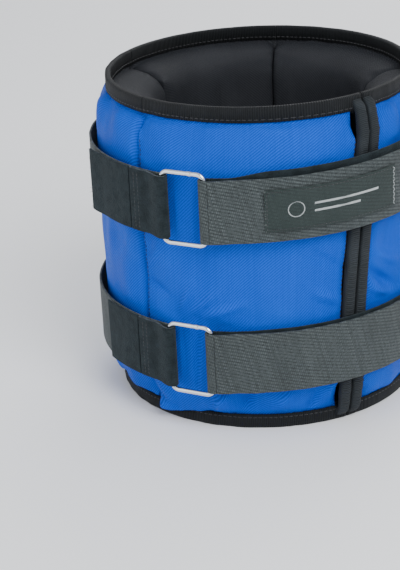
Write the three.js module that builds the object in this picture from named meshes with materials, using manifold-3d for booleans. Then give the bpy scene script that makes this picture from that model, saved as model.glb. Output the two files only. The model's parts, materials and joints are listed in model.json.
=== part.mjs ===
// A wrap-round ankle cuff weight. Five filled pockets stand in a ring round the leg, sewn to each
// other at four upright seams and open at one closure. Two straps go round the outside. Each comes
// over the closure, turns back through a wire ring and fastens on itself by hook and loop.
// Millimetres, +Z up, standing on z = 0. The pieces are laid out round the cuff's own upright axis,
// and the whole is moved at the end. Angles go round it in degrees: 0 faces -Y, 90 faces +X.

import * as THREE from "three";
import { mergeVertices } from "three/addons/utils/BufferGeometryUtils.js";
import Module from "manifold-3d";

const wasm = await Module();
wasm.setup();
const { degToRad, lerp } = THREE.MathUtils;

// Cuff
const cuffHeight = 200;
const cuffRadius = 103;
const wallThickness = 43;
const closureAngle = 30;
const frontPocketSpan = 76;
const clearance = 0.3;

// Pockets: an outer panel and a lining meet at a rim this far in from the outside. The filled
// pocket rounds off over these heights above the rim.
const fabricThickness = 1.5;
const rimInset = 12;
const outerRounding = 32;
const innerRounding = 16;
const bagSlack = 0.5;

// Binding tape on the rims and on the two ends of the cuff
const rimBindingThickness = 3.6;
const rimBindingHeight = 9;
const endBindingWidth = 7.5;
const endBindingDepth = 5;
const endBindingInset = 2;

// Straps: the margins are from the cuff's bottom and top to each strap's middle
const strapWidth = 38;
const strapThickness = 1.6;
const lowerStrapMargin = 49;
const upperStrapMargin = 57;
const strapRise = 7;
const tailEndAngle = 88;
const lowerKeeperEndAngle = -64;
const upperKeeperEndAngle = -70;
const keeperTaper = 11;
const tailTaper = 16;

// Wire rings
const ringAngle = -25;
const ringBarSpacing = 27;
const wireDiameter = 3;
const ringCorner = 3.5;
const ringSlack = 1;
const foldSlack = 0.5;
const foldLeg = 2.5;

// Hook tape under each tail's end, and the label sewn on the upper tail
const hookThickness = 1;
const hookStartAngle = 50;
const hookMargin = 2;
const labelStartAngle = 0.5;
const labelLength = 79;
const labelWidth = 25;
const labelThickness = 1;

// How finely curves are faceted
const pocketFacet = 9;
const strapFacet = 5;
const foldFacets = 6;
const cornerFacets = 3;
const wireSides = 8;
const ringFacets = 24;

const innerRadius = cuffRadius - wallThickness;
const rimRadius = cuffRadius - rimInset;
const wireRadius = wireDiameter / 2;

// --- Solids -------------------------------------------------------------------------------------

// A closed geometry as a manifold solid, for cutting.
function solidOf(geometry) {
  const bare = geometry.clone();
  bare.deleteAttribute("normal");
  bare.deleteAttribute("uv");
  const merged = mergeVertices(bare, 1e-4);
  const mesh = new wasm.Mesh({
    numProp: 3,
    vertProperties: new Float32Array(merged.attributes.position.array),
    triVerts: new Uint32Array(merged.index.array),
  });
  return new wasm.Manifold(mesh);
}

// A manifold solid back as a geometry.
function geometryOf(solid) {
  const mesh = solid.getMesh();
  const geometry = new THREE.BufferGeometry();
  geometry.setAttribute("position", new THREE.BufferAttribute(mesh.vertProperties, 3));
  geometry.setIndex(new THREE.BufferAttribute(mesh.triVerts, 1));
  geometry.computeVertexNormals();
  return geometry;
}

// Moves every vertex of a geometry to where place(x, y, z) says.
function reshape(geometry, place) {
  const position = geometry.attributes.position;
  for (let i = 0; i < position.count; i++) {
    const moved = place(position.getX(i), position.getY(i), position.getZ(i));
    position.setXYZ(i, ...moved);
  }
  geometry.computeVertexNormals();
  return geometry;
}

// The point at a radius, an angle in radians and a height.
function onCuff(radius, angle, z) {
  return [radius * Math.sin(angle), -radius * Math.cos(angle), z];
}

// An outline of radius and height, swept round the cuff from one angle to a larger one.
function sector(outline, fromAngle, toAngle) {
  const span = toAngle - fromAngle;
  const shape = new THREE.Shape(outline);
  const steps = Math.ceil(span / pocketFacet);
  const geometry = new THREE.ExtrudeGeometry(shape, { depth: span, steps, bevelEnabled: false });
  return reshape(geometry, (r, z, turned) => onCuff(r, degToRad(toAngle - turned), z));
}

// A rectangle of radius and height, as an outline for sector().
function rectangle(lowRadius, highRadius, lowZ, highZ) {
  return [
    new THREE.Vector2(lowRadius, lowZ),
    new THREE.Vector2(highRadius, lowZ),
    new THREE.Vector2(highRadius, highZ),
    new THREE.Vector2(lowRadius, highZ),
  ];
}

// An outline of height above the cuff's surface and length along it, bent round the cuff in plan and
// made as wide as a strap. The strap's middle is at centre, and it climbs by slope from startAlong.
function bent(outline, width, centre, slope = 0, startAlong = 0) {
  const plan = outline.map(({ x: height, y: along }) => {
    const [x, y] = onCuff(cuffRadius + height, along / cuffRadius, 0);
    return new THREE.Vector2(x, y);
  });
  const settings = { depth: width, bevelEnabled: false };
  const geometry = new THREE.ExtrudeGeometry(new THREE.Shape(plan), settings);
  return reshape(geometry, (x, y, across) => {
    const along = cuffRadius * Math.atan2(x, -y);
    return [x, y, centre - width / 2 + across + slope * (along - startAlong)];
  });
}

// Length along the cuff's surface at an angle.
function alongAt(angle) {
  return degToRad(angle) * cuffRadius;
}

// Outline points from one height and length along to another, close enough to follow the bend.
function run(heightA, alongA, heightB, alongB) {
  const steps = Math.ceil(Math.abs(alongB - alongA) / alongAt(strapFacet));
  return Array.from(
    { length: steps + 1 },
    (_, i) =>
      new THREE.Vector2(lerp(heightA, heightB, i / steps), lerp(alongA, alongB, i / steps)),
  );
}

// A flat strip of tape lying round the cuff between two lengths along, this far above it.
function tape(height, thickness, alongA, alongB) {
  return [
    ...run(height, alongA, height, alongB).reverse(),
    ...run(height + thickness, alongA, height + thickness, alongB),
  ];
}

// Half a turn of tape round a wire: points at one radius from the wire's middle, from under it to
// over it, passing on the side that side (1 or -1) says.
function halfTurn(radius, height, along, side) {
  return Array.from({ length: foldFacets + 1 }, (_, i) => {
    const turned = (Math.PI * i) / foldFacets;
    const sideways = side * radius * Math.sin(turned);
    return new THREE.Vector2(height - radius * Math.cos(turned), along + sideways);
  });
}

// --- Materials ----------------------------------------------------------------------------------

function finish(color, roughness, metalness = 0) {
  return () => new THREE.MeshStandardMaterial({ color, roughness, metalness });
}
const blueFabric = finish(0x0a64d2, 0.6);
const blackLining = finish(0x1b1d20, 0.85);
const fillFabric = finish(0x8a8578, 0.9);
const bindingTape = finish(0x14161a, 0.8);
const wovenTape = finish(0x58646a, 0.75);
const loopTape = finish(0x30383c, 0.95);
const hookTape = finish(0x24292c, 0.8);
const labelCloth = finish(0x48544f, 0.8);
const chromeWire = finish(0xd5d8dc, 0.15, 1);

const cuff = new THREE.Group();
function add(name, geometry, material) {
  const mesh = new THREE.Mesh(geometry, material());
  mesh.name = name;
  cuff.add(mesh);
  return mesh;
}

// --- Pockets ------------------------------------------------------------------------------------

// Seams from the front one round by the left to the right one.
const pocketSpan = (360 - frontPocketSpan) / 4;
const seamAngles = [0, 1, 2, 3].map((k) => closureAngle - frontPocketSpan - k * pocketSpan);
const seamGap = THREE.MathUtils.radToDeg(clearance / innerRadius);
const endBindingSpan = THREE.MathUtils.radToDeg(endBindingWidth / cuffRadius);
const endInset = endBindingSpan + 2 * seamGap;

const pockets = [
  { name: "front", from: seamAngles[0] + seamGap, to: closureAngle - endInset },
  { name: "left", from: seamAngles[1] + seamGap, to: seamAngles[0] - seamGap },
  { name: "back_left", from: seamAngles[2] + seamGap, to: seamAngles[1] - seamGap },
  { name: "back_right", from: seamAngles[3] + seamGap, to: seamAngles[2] - seamGap },
  { name: "right", from: closureAngle - 360 + endInset, to: seamAngles[3] - seamGap },
];

const shellBottom = rimBindingHeight + clearance;
const shellTop = cuffHeight - shellBottom;
const rimHalf = rimBindingThickness / 2 + clearance;

// The upright section of a filled pocket, drawn in by inset on every side. Its four corners are
// quarter ellipses, so that the top and bottom stay flat only under the rim's binding.
function pocketOutline(inset) {
  const corners = [
    { r: cuffRadius, z: shellBottom, reach: rimInset - rimHalf, rise: outerRounding, start: -90 },
    { r: cuffRadius, z: shellTop, reach: rimInset - rimHalf, rise: outerRounding, start: 0 },
    { r: innerRadius, z: shellTop, reach: 0, rise: innerRounding, start: 90 },
    { r: innerRadius, z: shellBottom, reach: 0, rise: innerRounding, start: 180 },
  ];
  const points = [];
  for (const corner of corners) {
    const reach = (corner.reach || wallThickness - rimInset - rimHalf) - inset;
    const rise = corner.rise - inset;
    const inwards = corner.r === cuffRadius ? -1 : 1;
    const upwards = corner.z === shellBottom ? 1 : -1;
    const centreR = corner.r + inwards * (inset + reach);
    const centreZ = corner.z + upwards * (inset + rise);
    for (let i = 0; i <= cornerFacets; i++) {
      const turned = degToRad(corner.start + (90 * i) / cornerFacets);
      const r = centreR + reach * Math.cos(turned);
      points.push(new THREE.Vector2(r, centreZ + rise * Math.sin(turned)));
    }
  }
  return points;
}

// A filled pocket's body, drawn in by inset on every side.
function pocketBody(pocket, inset) {
  const turned = THREE.MathUtils.radToDeg(inset / innerRadius);
  return sector(pocketOutline(inset), pocket.from + turned, pocket.to - turned);
}

// An upright cylinder on the cuff's axis, for parting the outer panels from the linings.
function partingCylinder(radius) {
  const sides = Math.round(360 / pocketFacet);
  const geometry = new THREE.CylinderGeometry(radius, radius, 2 * cuffHeight, sides);
  return solidOf(geometry.rotateX(Math.PI / 2));
}
const outsideRim = partingCylinder(rimRadius + clearance / 2);
const insideRim = partingCylinder(rimRadius - clearance / 2);

for (const pocket of pockets) {
  const hollow = solidOf(pocketBody(pocket, fabricThickness));
  const shell = solidOf(pocketBody(pocket, 0)).subtract(hollow);
  add(`${pocket.name}_outer_panel`, geometryOf(shell.subtract(outsideRim)), blueFabric);
  add(`${pocket.name}_lining`, geometryOf(shell.intersect(insideRim)), blackLining);
  add(`${pocket.name}_weight_bag`, pocketBody(pocket, fabricThickness + bagSlack), fillFabric);

  const low = rimRadius - rimBindingThickness / 2;
  const high = rimRadius + rimBindingThickness / 2;
  const bottomBand = rectangle(low, high, 0, rimBindingHeight);
  const topBand = rectangle(low, high, cuffHeight - rimBindingHeight, cuffHeight);
  add(`${pocket.name}_bottom_binding`, sector(bottomBand, pocket.from, pocket.to), bindingTape);
  add(`${pocket.name}_top_binding`, sector(topBand, pocket.from, pocket.to), bindingTape);
}

// The two ends of the cuff, each finished with a tape on edge that follows the pocket's outline from
// the bottom rim round the outside to the top rim. They stand side by side at the closure.
function endBinding(fromAngle) {
  const toAngle = fromAngle + endBindingSpan;
  const whole = solidOf(sector(pocketOutline(endBindingInset), fromAngle, toAngle));
  const inside = pocketOutline(endBindingInset + endBindingDepth);
  const core = solidOf(sector(inside, fromAngle - 1, toAngle + 1));
  return geometryOf(whole.subtract(core).subtract(outsideRim));
}
const endAStart = closureAngle - seamGap - endBindingSpan;
add("front_end_binding", endBinding(endAStart), bindingTape);
add("right_end_binding", endBinding(closureAngle + seamGap), bindingTape);

// --- Straps and rings ---------------------------------------------------------------------------

const wireHeight = clearance + strapThickness + foldSlack + wireRadius;
const barRadius = cuffRadius + wireHeight;
const barTurn = THREE.MathUtils.radToDeg(Math.asin(ringBarSpacing / 2 / barRadius));
const leftBarAlong = alongAt(ringAngle - barTurn);
const rightBarAlong = alongAt(ringAngle + barTurn);
const foldInner = wireRadius + foldSlack;
const foldOuter = foldInner + strapThickness;

const tapeHeight = clearance;
const secondHeight = tapeHeight + strapThickness + clearance;
const tailHeight = secondHeight + hookThickness + clearance;
const labelHeight = tailHeight + strapThickness + clearance;
const seamMargin = degToRad(seamGap) * cuffRadius;

// The keeper: tape that comes from the front seam, turns round the ring's left bar and goes back
// over itself to the seam.
function keeperLoop(centre) {
  const seam = alongAt(seamAngles[0]) + seamMargin;
  const landing = leftBarAlong - keeperTaper;
  const outline = [
    ...run(tapeHeight, seam, tapeHeight, leftBarAlong),
    ...halfTurn(foldOuter, wireHeight, leftBarAlong, 1).slice(1),
    ...run(secondHeight + strapThickness, landing, secondHeight + strapThickness, seam),
    ...run(secondHeight, seam, secondHeight, landing),
    ...halfTurn(foldInner, wireHeight, leftBarAlong, 1).reverse(),
    new THREE.Vector2(tapeHeight + strapThickness, seam),
  ];
  return bent(outline.reverse(), strapWidth, centre);
}

// The strap's turn round the ring's right bar, between its under layer and its tail.
function strapFold(centre) {
  const legEnd = rightBarAlong + foldLeg;
  const outline = [
    new THREE.Vector2(wireHeight - foldOuter, legEnd),
    ...halfTurn(foldOuter, wireHeight, rightBarAlong, -1),
    new THREE.Vector2(wireHeight + foldOuter, legEnd),
    new THREE.Vector2(wireHeight + foldInner, legEnd),
    ...halfTurn(foldInner, wireHeight, rightBarAlong, -1).reverse(),
    new THREE.Vector2(wireHeight - foldInner, legEnd),
  ];
  return bent(outline, strapWidth, centre);
}

const legEndAlong = rightBarAlong + foldLeg + clearance;
const closingEndAlong = alongAt(seamAngles[3] + 360) - seamMargin;
const strapSlope = strapRise / (closingEndAlong - legEndAlong);

// The tail: it leaves the fold over the ring's right bar, comes down on the under layer and lies
// along it to its free end.
function tail(centre) {
  const landing = legEndAlong + tailTaper;
  const end = alongAt(tailEndAngle);
  const foldUnder = wireHeight + foldInner;
  const outline = [
    new THREE.Vector2(foldUnder, legEndAlong),
    new THREE.Vector2(foldUnder + strapThickness, legEndAlong),
    ...run(tailHeight + strapThickness, landing, tailHeight + strapThickness, end),
    ...run(tailHeight, end, tailHeight, landing),
  ];
  return bent(outline, strapWidth, centre, strapSlope, legEndAlong);
}

// A ring of round wire: a torus whose quarters are moved apart, so that what joins them is straight.
function wireRing(width, height) {
  const geometry = new THREE.TorusGeometry(ringCorner, wireRadius, wireSides, ringFacets);
  geometry.rotateZ(Math.PI / ringFacets);
  return reshape(geometry, (x, y, z) => [
    x + Math.sign(x) * (width / 2 - ringCorner),
    y + Math.sign(y) * (height / 2 - ringCorner),
    z,
  ]);
}

const straps = [
  { name: "lower", centre: lowerStrapMargin, keeperEnd: lowerKeeperEndAngle },
  { name: "upper", centre: cuffHeight - upperStrapMargin, keeperEnd: upperKeeperEndAngle },
];

for (const { name, centre, keeperEnd } of straps) {
  // The sewn length, from the front seam round the back to the right seam, one piece per pocket.
  for (const pocket of pockets.slice(1, 4)) {
    const from = alongAt(pocket.from);
    const sewn = tape(tapeHeight, strapThickness, from, alongAt(pocket.to));
    add(`${name}_strap_${pocket.name}`, bent(sewn, strapWidth, centre), wovenTape);
  }

  const keeperFrom = alongAt(keeperEnd);
  const keeperTo = alongAt(seamAngles[0]) - seamMargin;
  const keeperEndTape = tape(secondHeight, strapThickness, keeperFrom, keeperTo);
  add(`${name}_keeper_end`, bent(keeperEndTape, strapWidth, centre), loopTape);
  add(`${name}_keeper_loop`, keeperLoop(centre), loopTape);

  const ringHeight = strapWidth + 2 * ringSlack + wireDiameter;
  const ring = add(`${name}_ring`, wireRing(ringBarSpacing, ringHeight), chromeWire);
  const ringDistance = barRadius * Math.cos(degToRad(barTurn));
  ring.rotation.set(Math.PI / 2, 0, degToRad(ringAngle), "ZYX");
  ring.position.set(...onCuff(ringDistance, degToRad(ringAngle), centre));

  const under = tape(tapeHeight, strapThickness, legEndAlong, closingEndAlong);
  const underLayer = bent(under, strapWidth, centre, strapSlope, legEndAlong);
  add(`${name}_closing_strap`, underLayer, loopTape);
  add(`${name}_strap_fold`, strapFold(centre), loopTape);
  add(`${name}_tail`, tail(centre), wovenTape);

  const hookEnd = alongAt(tailEndAngle) - hookMargin;
  const hook = tape(secondHeight, hookThickness, alongAt(hookStartAngle), hookEnd);
  const hookWidth = strapWidth - 2 * hookMargin;
  const hookPatch = bent(hook, hookWidth, centre, strapSlope, legEndAlong);
  add(`${name}_hook_patch`, hookPatch, hookTape);
}

const labelFrom = alongAt(labelStartAngle);
const label = tape(labelHeight, labelThickness, labelFrom, labelFrom + labelLength);
const upperCentre = cuffHeight - upperStrapMargin;
add("label", bent(label, labelWidth, upperCentre, strapSlope, legEndAlong), labelCloth);

// The part's origin is the middle of its footprint, rings and tails included.
const footprint = new THREE.Box3().setFromObject(cuff).getCenter(new THREE.Vector3());
cuff.position.set(-footprint.x, -footprint.y, 0);
const part = new THREE.Group();
part.add(cuff);

export default part;
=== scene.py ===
# A wrap-round ankle cuff weight, closed and standing on its lower rim. Five sand-filled pockets of
# blue coated cloth are sewn edge to edge in a ring, and two straps of hook-and-loop tape hold it shut,
# each turned back through a bent wire ring. Metres, +Z up, around the CAD model's own places.
import json
import math
import random

import bmesh
import bpy
from mathutils import Matrix, Vector, noise
from mathutils.bvhtree import BVHTree

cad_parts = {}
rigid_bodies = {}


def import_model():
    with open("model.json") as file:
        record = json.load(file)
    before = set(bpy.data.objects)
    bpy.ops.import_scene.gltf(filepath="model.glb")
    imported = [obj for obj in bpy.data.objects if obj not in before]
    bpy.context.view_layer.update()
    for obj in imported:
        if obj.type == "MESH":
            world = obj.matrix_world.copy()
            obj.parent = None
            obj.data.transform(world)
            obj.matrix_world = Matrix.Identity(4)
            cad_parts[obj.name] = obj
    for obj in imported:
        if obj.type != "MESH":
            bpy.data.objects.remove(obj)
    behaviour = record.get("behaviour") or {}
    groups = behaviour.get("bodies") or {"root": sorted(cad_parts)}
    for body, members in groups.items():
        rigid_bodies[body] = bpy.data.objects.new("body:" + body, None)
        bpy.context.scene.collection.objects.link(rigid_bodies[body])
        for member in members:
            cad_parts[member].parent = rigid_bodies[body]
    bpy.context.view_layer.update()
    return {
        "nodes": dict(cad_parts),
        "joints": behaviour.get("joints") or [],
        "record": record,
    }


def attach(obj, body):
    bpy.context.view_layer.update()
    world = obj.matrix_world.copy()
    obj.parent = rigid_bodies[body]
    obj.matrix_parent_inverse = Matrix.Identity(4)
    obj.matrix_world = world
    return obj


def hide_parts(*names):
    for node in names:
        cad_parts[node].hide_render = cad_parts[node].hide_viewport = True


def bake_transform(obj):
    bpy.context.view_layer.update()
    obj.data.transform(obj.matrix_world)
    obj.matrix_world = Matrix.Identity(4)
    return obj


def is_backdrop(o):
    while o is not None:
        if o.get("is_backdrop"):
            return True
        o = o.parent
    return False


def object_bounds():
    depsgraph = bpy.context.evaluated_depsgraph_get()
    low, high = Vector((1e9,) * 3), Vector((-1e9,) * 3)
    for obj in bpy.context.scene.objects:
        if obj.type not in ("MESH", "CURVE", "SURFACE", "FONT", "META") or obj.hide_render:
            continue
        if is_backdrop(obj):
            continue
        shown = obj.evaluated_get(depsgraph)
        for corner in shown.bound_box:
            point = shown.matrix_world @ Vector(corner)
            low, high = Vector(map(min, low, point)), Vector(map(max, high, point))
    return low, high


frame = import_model()
scene = bpy.context.scene

# --- Camera, floor and light ----------------------------------------------------------------------
# The cuff stands on a plain pale floor in soft studio light, seen from a little above.
opening = frame["record"]["physics"]["openings"][0]["box_m"]
axis = (Vector(opening[0]) + Vector(opening[1])) / 2
axis.z = 0

target = axis + Vector((0, 0, 0.1))
view_distance = 1.1
elevation = math.radians(20.4)
eye = target + view_distance * Vector((0, -math.cos(elevation), math.sin(elevation)))
aim = (target - eye).to_track_quat("-Z", "Y").to_matrix().to_4x4()
roll = Matrix.Rotation(math.radians(-2.04), 4, "Z")
swing = Matrix.Rotation(math.radians(2.06), 4, "Y")
dip = Matrix.Rotation(math.radians(-2.19), 4, "X")
camera = bpy.data.objects.new("camera", bpy.data.cameras.new("camera"))
camera.data.sensor_fit = "HORIZONTAL"
camera.data.sensor_width = 36
camera.data.lens = 157.8
camera.matrix_world = Matrix.Translation(eye) @ aim @ roll @ swing @ dip
scene.collection.objects.link(camera)
scene.camera = camera


def soft_light(name, size, power, place):
    lamp = bpy.data.objects.new(name, bpy.data.lights.new(name, "AREA"))
    lamp.data.shape = "DISK"
    lamp.data.size = size
    lamp.data.energy = power
    lamp.location = place
    lamp.rotation_euler = (target - Vector(place)).to_track_quat("-Z", "Y").to_euler()
    scene.collection.objects.link(lamp)


soft_light("key", 1.0, 27, (0.55, -1.15, 1.25))
soft_light("fill", 1.6, 8, (-1.3, -0.9, 0.7))
soft_light("back", 1.2, 10, (0.4, 1.3, 1.1))

scene.world = scene.world or bpy.data.worlds.new("studio")
scene.world.use_nodes = True
sky = scene.world.node_tree.nodes["Background"]
sky.inputs["Color"].default_value = (0.93, 0.95, 1.0, 1)
sky.inputs["Strength"].default_value = 0.82

floor_mesh = bmesh.new()
bmesh.ops.create_grid(floor_mesh, x_segments=2, y_segments=2, size=3)
floor = bpy.data.objects.new("floor", bpy.data.meshes.new("floor"))
floor_mesh.to_mesh(floor.data)
floor_mesh.free()
scene.collection.objects.link(floor)
pale = bpy.data.materials.new("pale_floor")
pale.use_nodes = True
pale.node_tree.nodes["Principled BSDF"].inputs["Base Color"].default_value = (0.93, 0.94, 0.95, 1)
pale.node_tree.nodes["Principled BSDF"].inputs["Roughness"].default_value = 0.7
floor.data.materials.append(pale)
floor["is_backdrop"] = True


# --- Cloth for the pockets ------------------------------------------------------------------------
# The outer panels are blue coated polyester in a close 2/2 twill, with a soft sheen. The pattern lies
# in a UV map in metres, so that it runs round the cuff as the cloth does.
def polar(point):
    """The angle round the cuff's axis, 0 facing -Y and growing towards +X, and the radius."""
    offset = point - axis
    return math.atan2(offset.x, -offset.y), math.hypot(offset.x, offset.y)


def around(angle, radius, height):
    """The point at an angle round the cuff's axis, a radius and a height."""
    return Vector((axis.x + radius * math.sin(angle), axis.y - radius * math.cos(angle), height))


extents = {}


def extent(node):
    """How far a CAD node reaches round the cuff: its angles, radii and heights, low and high."""
    if node in extents:
        return extents[node]
    points = [v.co for v in frame["nodes"][node].data.vertices]
    middle = polar(sum(points, Vector()) / len(points))[0]
    turns = [math.remainder(polar(p)[0] - middle, math.tau) for p in points]
    radii = [polar(p)[1] for p in points]
    heights = [p.z for p in points]
    low_angle, high_angle = middle + min(turns), middle + max(turns)
    extents[node] = (low_angle, high_angle, min(radii), max(radii), min(heights), max(heights))
    return extents[node]


def ease(value, low, high):
    """0 up to low, 1 from high on, and a smooth climb between."""
    share = min(1, max(0, (value - low) / (high - low)))
    return share * share * (3 - 2 * share)


def node_group(name, inputs, outputs):
    """An empty shader group with float or vector inputs and its outputs, ready to be filled."""
    group = bpy.data.node_groups.new(name, "ShaderNodeTree")
    for label, kind in inputs:
        group.interface.new_socket(label, in_out="INPUT", socket_type=kind)
    for label, kind in outputs:
        group.interface.new_socket(label, in_out="OUTPUT", socket_type=kind)
    return group, group.nodes.new("NodeGroupInput"), group.nodes.new("NodeGroupOutput")


def reckon(tree, operation, first, second=None):
    """A Math node on sockets or numbers; gives its output socket."""
    node = tree.nodes.new("ShaderNodeMath")
    node.operation = operation
    for slot, value in enumerate((first, second)):
        if isinstance(value, (int, float)):
            node.inputs[slot].default_value = value
        elif value is not None:
            tree.links.new(value, node.inputs[slot])
    return node.outputs[0]


FLOAT = "NodeSocketFloat"
VECTOR = "NodeSocketVector"
twill, twill_in, twill_out = node_group(
    "twill", [("Cloth", VECTOR), ("Thread", FLOAT), ("Stretch", FLOAT)],
    [("Over", FLOAT), ("Height", FLOAT), ("Yarn", FLOAT)])
cloth_parts = twill.nodes.new("ShaderNodeSeparateXYZ")
twill.links.new(twill_in.outputs["Cloth"], cloth_parts.inputs[0])
across_warp = reckon(twill, "DIVIDE", cloth_parts.outputs[0], twill_in.outputs["Thread"])
weft_pitch = reckon(twill, "MULTIPLY", twill_in.outputs["Thread"], twill_in.outputs["Stretch"])
across_weft = reckon(twill, "DIVIDE", cloth_parts.outputs[1], weft_pitch)
warp_number = reckon(twill, "FLOOR", across_warp)
weft_number = reckon(twill, "FLOOR", across_weft)
step = reckon(twill, "FLOORED_MODULO", reckon(twill, "SUBTRACT", warp_number, weft_number), 4)
over = reckon(twill, "LESS_THAN", step, 2)
warp_round = reckon(twill, "SINE", reckon(twill, "MULTIPLY", across_warp, math.pi))
weft_round = reckon(twill, "SINE", reckon(twill, "MULTIPLY", across_weft, math.pi))
warp_height = reckon(twill, "MULTIPLY", reckon(twill, "ABSOLUTE", warp_round), over)
weft_height = reckon(twill, "MULTIPLY", reckon(twill, "ABSOLUTE", weft_round),
                     reckon(twill, "SUBTRACT", 1, over))
twill.links.new(over, twill_out.inputs["Over"])
twill.links.new(reckon(twill, "ADD", warp_height, weft_height), twill_out.inputs["Height"])
yarn = twill.nodes.new("ShaderNodeTexWhiteNoise")
yarn.noise_dimensions = "1D"
yarn_number = reckon(twill, "MULTIPLY", weft_number, reckon(twill, "SUBTRACT", 1, over))
yarn_pick = reckon(twill, "ADD", yarn_number, reckon(twill, "MULTIPLY", warp_number, 0.37))
twill.links.new(yarn_pick, yarn.inputs["W"])
twill.links.new(yarn.outputs["Value"], twill_out.inputs["Yarn"])


class Finish:
    """One material under construction: a Principled shader and short ways to add nodes to it."""

    def __init__(self, name, roughness, metallic=0.0, sheen=0.0, tint=(1, 1, 1), specular=0.5):
        self.material = bpy.data.materials.new(name)
        self.material.use_nodes = True
        self.tree = self.material.node_tree
        self.shader = self.tree.nodes["Principled BSDF"]
        self.shader.inputs["Roughness"].default_value = roughness
        self.shader.inputs["Metallic"].default_value = metallic
        self.shader.inputs["Sheen Weight"].default_value = sheen
        self.shader.inputs["Sheen Tint"].default_value = (*tint, 1)
        self.shader.inputs["Specular IOR Level"].default_value = specular

    def cloth(self):
        """The cloth's own coordinates, in metres."""
        node = self.tree.nodes.new("ShaderNodeUVMap")
        node.uv_map = "cloth"
        return node.outputs[0]

    def place(self):
        """The piece's place in the frame, in metres."""
        return self.tree.nodes.new("ShaderNodeTexCoord").outputs["Object"]

    def scaled(self, vector, scale):
        node = self.tree.nodes.new("ShaderNodeMapping")
        node.inputs["Scale"].default_value = scale
        self.tree.links.new(vector, node.inputs["Vector"])
        return node.outputs[0]

    def noise(self, vector, scale, detail=3, rough=0.5):
        node = self.tree.nodes.new("ShaderNodeTexNoise")
        node.inputs["Scale"].default_value = scale
        node.inputs["Detail"].default_value = detail
        node.inputs["Roughness"].default_value = rough
        self.tree.links.new(vector, node.inputs["Vector"])
        return node.outputs["Fac"]

    def weave(self, vector, thread, stretch=1.0):
        node = self.tree.nodes.new("ShaderNodeGroup")
        node.node_tree = twill
        node.inputs["Thread"].default_value = thread
        node.inputs["Stretch"].default_value = stretch
        self.tree.links.new(vector, node.inputs["Cloth"])
        return node.outputs

    def spread(self, value, low, high, to_low=0.0, to_high=1.0):
        node = self.tree.nodes.new("ShaderNodeMapRange")
        for label, number in zip(("From Min", "From Max", "To Min", "To Max"),
                                 (low, high, to_low, to_high)):
            node.inputs[label].default_value = number
        self.tree.links.new(value, node.inputs["Value"])
        return node.outputs["Result"]

    def math(self, operation, first, second=None):
        return reckon(self.tree, operation, first, second)

    def blend(self, share, first, second):
        """A colour between two, each a tuple or a socket."""
        node = self.tree.nodes.new("ShaderNodeMix")
        node.data_type = "RGBA"
        self.tree.links.new(share, node.inputs["Factor"])
        for label, value in (("A", first), ("B", second)):
            socket = [s for s in node.inputs if s.name == label and s.type == "RGBA"][0]
            if isinstance(value, tuple):
                socket.default_value = (*value, 1)
            else:
                self.tree.links.new(value, socket)
        return [s for s in node.outputs if s.type == "RGBA"][0]

    def bump(self, *layers):
        """Bumps stacked from (height socket, depth in metres) pairs, the coarsest first."""
        below = None
        for height, depth in layers:
            node = self.tree.nodes.new("ShaderNodeBump")
            node.inputs["Distance"].default_value = depth
            node.inputs["Strength"].default_value = 1
            self.tree.links.new(height, node.inputs["Height"])
            if below:
                self.tree.links.new(below, node.inputs["Normal"])
            below = node.outputs[0]
        self.tree.links.new(below, self.shader.inputs["Normal"])

    def feed(self, colour=None, roughness=None):
        if colour:
            self.tree.links.new(colour, self.shader.inputs["Base Color"])
        if roughness:
            self.tree.links.new(roughness, self.shader.inputs["Roughness"])
        return self.material


def coated_cloth(name, light, dark, worn):
    finish = Finish(name, 0.5, specular=0.1)
    threads = finish.weave(finish.cloth(), 0.0005)
    grain = finish.noise(finish.cloth(), 900, 4)
    cloudy = finish.noise(finish.place(), 22, 3)
    lit = finish.math("MULTIPLY", threads["Over"], finish.spread(threads["Height"], 0, 1, 0.45, 1))
    shade = finish.math("ADD", finish.math("MULTIPLY", lit, 0.55),
                        finish.math("MULTIPLY", threads["Yarn"], 0.18))
    colour = finish.blend(shade, dark, light)
    colour = finish.blend(finish.spread(cloudy, 0.52, 0.78, 0, 0.22), colour, worn)
    finish.bump((cloudy, 0.0006), (grain, 0.00008), (threads["Height"], 0.00015))
    return finish.feed(colour, finish.spread(grain, 0.3, 0.7, 0.42, 0.6))


blue_cloth = coated_cloth("blue_coated_cloth", (0.0, 0.14, 0.9), (0.0, 0.044, 0.37),
                          (0.0, 0.162, 0.95))
black_cloth = coated_cloth("black_lining_cloth", (0.035, 0.038, 0.044), (0.012, 0.013, 0.016),
                           (0.05, 0.052, 0.058))
calico = coated_cloth("calico_bag_cloth", (0.56, 0.52, 0.43), (0.36, 0.33, 0.27), (0.5, 0.46, 0.4))

# --- Filled pockets -------------------------------------------------------------------------------
# Each pocket is a blue outer panel and a black lining sewn round their edge, with a bag of sand inside.
# The filling swells the cloth between the sewn edges, and the straps press it flat where they pass.
pocket_names = ["front", "left", "back_left", "back_right", "right"]
cloth_voxel = 0.0055
swell_limit = 0.007
strap_half = (extent("lower_keeper_loop")[5] - extent("lower_keeper_loop")[4]) / 2
strap_heights = {}
for level in ("lower", "upper"):
    _, _, _, _, low, high = extent(f"{level}_keeper_loop")
    strap_heights[level] = (low + high) / 2
cuff_radius = extent("back_left_outer_panel")[3]
leg_radius = extent("back_left_lining")[2]
cuff_height = extent("back_left_top_binding")[5]
rim_radius = sum(extent("back_left_bottom_binding")[2:4]) / 2
rim_tape = extent("back_left_bottom_binding")[5]
fold_angle, closing_end, _, _, closing_low, closing_high = extent("lower_closing_strap")
closing_climb = (closing_high - closing_low - 2 * strap_half) / (closing_end - fold_angle)
front_end = extent("front_outer_panel")[1]
right_end = extent("right_outer_panel")[0]


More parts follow.
